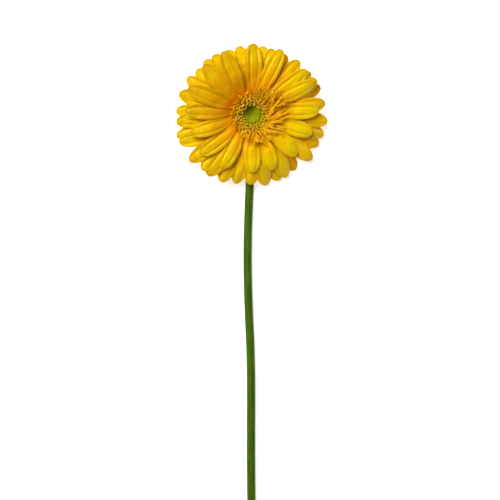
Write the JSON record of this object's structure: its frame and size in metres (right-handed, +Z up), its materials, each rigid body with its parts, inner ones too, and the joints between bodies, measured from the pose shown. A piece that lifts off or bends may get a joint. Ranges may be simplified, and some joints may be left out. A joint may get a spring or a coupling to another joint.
{
  "type": "cut gerbera",
  "caption": "Cut gerbera lying face up, with a long bare green stem and a broad yellow head of layered strap petals, short orange inner florets and a green eye.",
  "frame": {"origin": "on the surface that the flower lies on, below the middle of its box seen from above", "axes": "+Z up from the surface, +Y along the stem towards the head, +X to the right as the flower is looked down on with its head away from the viewer"},
  "size_m": [0.1054, 0.395, 0.0405],
  "materials": {
    "stem_green": "soft satin skin of a fresh stem, with fine hairs and faint ribs",
    "bract_green": "matte, finely hairy",
    "petal_yellow": "soft satin, finely ribbed along its length",
    "floret_orange": "soft satin",
    "floret_cream": "matte",
    "bud_green": "matte"
  },
  "bodies": {
    "root": {"stem": "stem_green", "involucre": "bract_green", "ray_petals": "petal_yellow", "trans_florets": "floret_orange", "disc_florets": "floret_cream", "disc_buds": "bud_green"}
  },
  "joints": []
}
